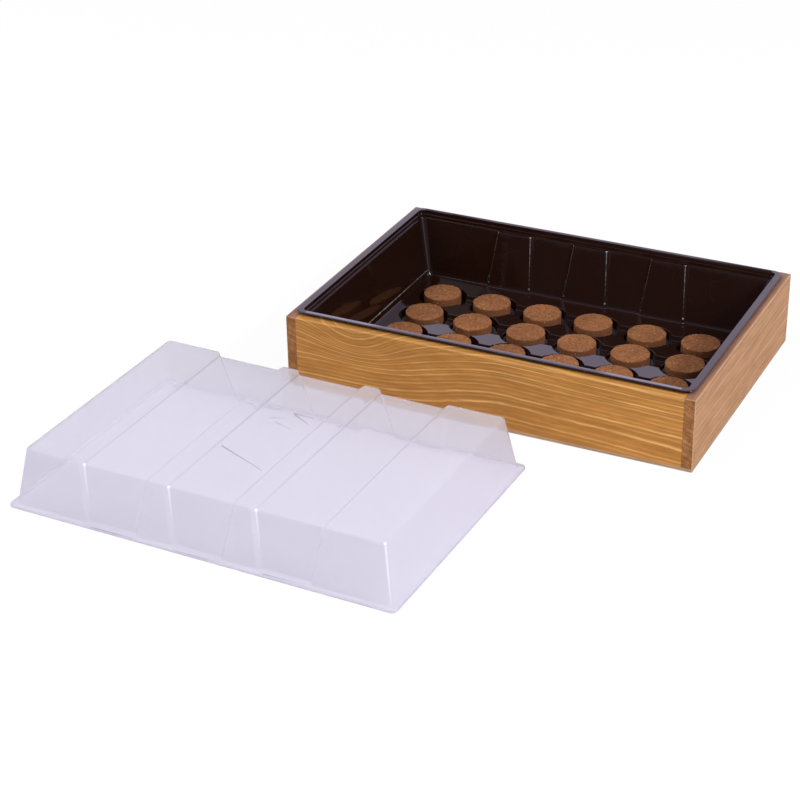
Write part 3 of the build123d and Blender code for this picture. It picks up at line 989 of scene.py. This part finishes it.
class SEEDBOX_OT_hood(bpy.types.Operator):
    """Models the clear hood as one sheet with belts and a flange"""

    bl_idname = "seedbox.hood"
    bl_label = "Clear Hood"

    def execute(self, context):
        sizes = context.scene.seed_hood
        tray = context.scene.seed_tray
        inset = 2 * tray.step_lean + tray.upper_ledge + sizes.seat_gap
        flange_x = TRAY_HIGH.x - tray.rim_width_end - inset
        flange_y = TRAY_HIGH.y - tray.rim_width_side - inset
        middles = (-sizes.belt_pitch, 0.0, sizes.belt_pitch)
        foot_belts = [(middle, sizes.belt_foot / 2) for middle in middles]
        top_belts = [(middle, sizes.belt_top / 2) for middle in middles]

        def ring(place, radius, belts, relief=0.0, drop=0.0):
            # Place is how far in from the flange's edge, and the level
            return sheet_ring(
                flange_x - place.x, flange_y - place.x, radius - place.x, place.y, belts, relief,
                sizes.belt_slope, drop, sizes.belt_round,
            )

        inwards, upwards = Vector((1.0, 0.0)), Vector((0.0, 1.0))
        wall_foot = Vector((sizes.flange, sizes.lip_height))
        wall_top = Vector((sizes.flange + sizes.wall_lean, sizes.height))
        wall = wall_top - wall_foot
        drop_in = sizes.belt_top_depth * sizes.wall_lean / sizes.height
        rings = [ring(Vector((0.0, 0.0)), tray.rim_radius, foot_belts)]
        for place in bend(Vector((0.0, sizes.lip_height)), upwards, inwards, sizes.lip_round, 4):
            rings.append(ring(place, tray.rim_radius, foot_belts))
        for place in bend(wall_foot, inwards, wall, sizes.foot_round, 4):
            rings.append(ring(place, sizes.foot_radius + sizes.flange, foot_belts, sizes.belt_depth))
        for place in bend(wall_top, wall, inwards, sizes.top_round, 6):
            radius = sizes.top_radius + wall_top.x
            rings.append(ring(place, radius, top_belts, sizes.belt_depth - drop_in, sizes.belt_top_depth))
        shape = bmesh.new()
        self.cover(shape, loft_rings(shape, rings)[1])
        faced_out(shape)
        smooth(shape, math.radians(40.0))
        middle = Vector((sizes.shift, -BOX_HALF_Y - sizes.front_gap - flange_y, 0.0))
        turned = Matrix.Rotation(sizes.yaw, 3, "Z")
        bmesh.ops.rotate(shape, verts=shape.verts, cent=Vector(), matrix=turned)
        bmesh.ops.translate(shape, verts=shape.verts, vec=middle)
        marks = self.marks(sizes, flange_x, flange_y, wall_foot, wall_top, middles, drop_in)
        edges, painted_shade_lines = [
            [(turned @ start + middle, turned @ end + middle, *rest) for start, end, *rest in lines]
            for lines in marks
        ]
        material = hood_material(sheet_groups(), sizes, edges, painted_shade_lines)
        piece = new_piece("moulded_hood", shape, material, "hood", "clear_sheet", "clear_hood")
        give_wall(piece, sizes.sheet)
        return {"FINISHED"}

    @staticmethod
    def marks(sizes, flange_x, flange_y, wall_foot, wall_top, middles, drop_in):
        # Painted highlights, white lines down the raised parts' right edges on the front and down the
        # front's right corner;
        # painted shade, darker lines along the raised parts' right edges over the top
        front_top, front_foot = wall_top.x - flange_y, wall_foot.x - flange_y
        near_top = sizes.height - 1.2 * MM
        recess = Vector((0.0, sizes.belt_depth - drop_in / 2, -sizes.belt_top_depth))
        edges, painted_shade_lines = [], []
        for belt in middles:
            top_x = belt - sizes.belt_top / 2 + sizes.belt_slope
            foot_x = belt - sizes.belt_foot / 2 + sizes.belt_slope
            start = Vector((top_x, front_top, near_top)) + recess
            end = Vector((foot_x, front_foot, 0.0)) + recess
            edges.append((start, end, 1.6 * MM, 1.9 * MM, 1.0))
            level = sizes.height - sizes.belt_top_depth
            start, end = [Vector((top_x, side * front_top, level)) for side in (-1, 1)]
            painted_shade_lines.append((start, end, 1.2 * MM, 0.1 * MM, 0.45))
        # Where a rounded corner's edge runs, as a share of its radius
        corner_share = 0.3
        corner = sizes.top_radius * corner_share
        start = Vector((flange_x - wall_top.x - corner, front_top + corner, near_top))
        corner = sizes.foot_radius * corner_share
        end = Vector((flange_x - wall_foot.x - corner, front_foot + corner, 0.0))
        edges.append((start, end, 1.5 * MM, 1.8 * MM, 0.95))
        return edges, painted_shade_lines

    @staticmethod
    def cover(shape, loop):
        # The top plate: strips from front to back between matching points of the loop
        loop = sorted(loop, key=lambda vertex: (round(vertex.co.x, 6), abs(vertex.co.y)))
        back = [vertex for vertex in loop if vertex.co.y > 0]
        front = [vertex for vertex in loop if vertex.co.y < 0]
        for corners in zip(front, front[1:], back[1:], back):
            if len({corner.co.to_tuple(7) for corner in corners}) == 4:
                shape.faces.new(corners)


class SEEDBOX_OT_stage(bpy.types.Operator):
    """Sets the floor, the lights and the camera"""

    bl_idname = "seedbox.stage"
    bl_label = "Stage"

    def execute(self, context):
        sizes = context.scene.seed_stage
        self.floor(sizes)
        self.world(sizes, context.scene)
        self.lamp("key_light", (1.68, -0.49, 1.33), 0.7, sizes.key_power)
        self.lamp("spark_light", (1.63, -0.30, 1.50), 0.12, sizes.spark_power)
        self.lamp("second_spark_light", (1.50, -0.85, 1.45), 0.12, sizes.spark_power)
        self.lamp("fill_light", (-1.9, -1.2, 1.5), 2.2, sizes.fill_power)
        self.camera(sizes, context.scene)
        context.scene.view_settings.view_transform = "Standard"
        return {"FINISHED"}

    @staticmethod
    def floor(sizes):
        made, shader, _, _ = new_material("pale_floor")
        feed(shader, {"Base Color": (*sizes.floor_tint, 1.0), "Roughness": 0.9, "Specular IOR Level": 0.0})
        seen = add_node("ShaderNodeLightPath", {}, made.node_tree)["Is Camera Ray"]
        white = add_node("ShaderNodeEmission", {"Color": WHITE, "Strength": 1.12}, made.node_tree)
        mixed_with(shader, seen * 0.8, white)
        shape = bmesh.new()
        # A hair under the part, so that the two don't flicker through each other from below
        under = Matrix.Translation((0.0, 0.0, -0.1 * MM))
        bmesh.ops.create_grid(shape, x_segments=1, y_segments=1, size=sizes.floor_half, matrix=under)
        floor = as_object("floor", shape)
        floor.data.materials.append(made)

    @staticmethod
    def world(sizes, scene):
        world = bpy.data.worlds.new("studio")
        scene.world = world
        world.use_nodes = True
        tree = world.node_tree
        path = add_node("ShaderNodeLightPath", {}, tree)
        # Rays that pass through the hood are flagged glossy too, so only reflected ones see the sky
        glossy = maths("SUBTRACT", path["Is Glossy Ray"], path["Is Transmission Ray"], clamp=True)
        # The studio is brighter behind the box than in front of it
        heading = parts_of(add_node("ShaderNodeTexCoord", {}, tree)["Generated"])[1]
        behind = ramp(heading, -0.8, 0.4, 0.0, sizes.sky_strength - sizes.front_sky)
        mirrored = glossy * (behind + (sizes.front_sky - sizes.world_light))
        seen = path["Is Camera Ray"] * (1.0 - sizes.world_light)
        feed(tree.nodes["Background"], {
            "Color": blend(glossy, WHITE[:3], sizes.sky_tint),
            "Strength": mirrored + seen + sizes.world_light,
        })

    @staticmethod
    def lamp(name, place, size, power):
        data = bpy.data.lights.new(name, "AREA")
        data.shape = "DISK"
        data.size = size
        data.energy = power
        lamp = bpy.data.objects.new(name, data)
        aimed = Vector(place).to_track_quat("Z", "Y").to_matrix().to_4x4()
        lamp.matrix_world = Matrix.Translation(place) @ aimed
        bpy.context.scene.collection.objects.link(lamp)

    @staticmethod
    def camera(sizes, scene):
        data = bpy.data.cameras.new("camera")
        data.lens = sizes.lens
        data.sensor_width = 36.0
        data.clip_end = 50.0
        camera = bpy.data.objects.new("camera", data)
        back = -Vector(sizes.camera_aim).normalized()
        right = Vector(sizes.camera_right).normalized()
        up = back.cross(right).normalized()
        turned = Matrix((right, up, back)).transposed().to_4x4()
        camera.matrix_world = Matrix.Translation(Vector(sizes.camera_place)) @ turned
        scene.collection.objects.link(camera)
        scene.camera = camera


class SEEDBOX_PT_panel(bpy.types.Panel):
    """Buttons for each group of pieces"""

    bl_idname = "SEEDBOX_PT_panel"
    bl_label = "Seed Box"
    bl_space_type = "VIEW_3D"
    bl_region_type = "UI"
    bl_category = "Seed Box"

    def draw(self, context):
        for operator, group in STEPS:
            box = self.layout.box()
            box.operator(operator)
            settings = getattr(context.scene, group)
            for key in settings.bl_rna.properties.keys():
                if key not in ("name", "rna_type"):
                    box.prop(settings, key)


GROUPS = {
    "seed_wood": SeedBoxWood,
    "seed_tray": SeedBoxTray,
    "seed_pellets": SeedBoxPellets,
    "seed_hood": SeedBoxHood,
    "seed_stage": SeedBoxStage,
}
STEPS = (
    ("seedbox.timber", "seed_wood"),
    ("seedbox.tray", "seed_tray"),
    ("seedbox.pellets", "seed_pellets"),
    ("seedbox.hood", "seed_hood"),
    ("seedbox.stage", "seed_stage"),
)
CLASSES = (
    *GROUPS.values(),
    SEEDBOX_OT_timber,
    SEEDBOX_OT_tray,
    SEEDBOX_OT_pellets,
    SEEDBOX_OT_hood,
    SEEDBOX_OT_stage,
    SEEDBOX_PT_panel,
)


def register():
    for item in CLASSES:
        bpy.utils.register_class(item)
    for key, group in GROUPS.items():
        setattr(bpy.types.Scene, key, bpy.props.PointerProperty(type=group))


def unregister():
    for key in GROUPS:
        delattr(bpy.types.Scene, key)
    for item in reversed(CLASSES):
        bpy.utils.unregister_class(item)


def main():
    register()
    bpy.ops.seedbox.timber()
    bpy.ops.seedbox.tray()
    bpy.ops.seedbox.pellets()
    bpy.ops.seedbox.hood()
    bpy.ops.seedbox.stage()


if __name__ == "__main__":
    main()
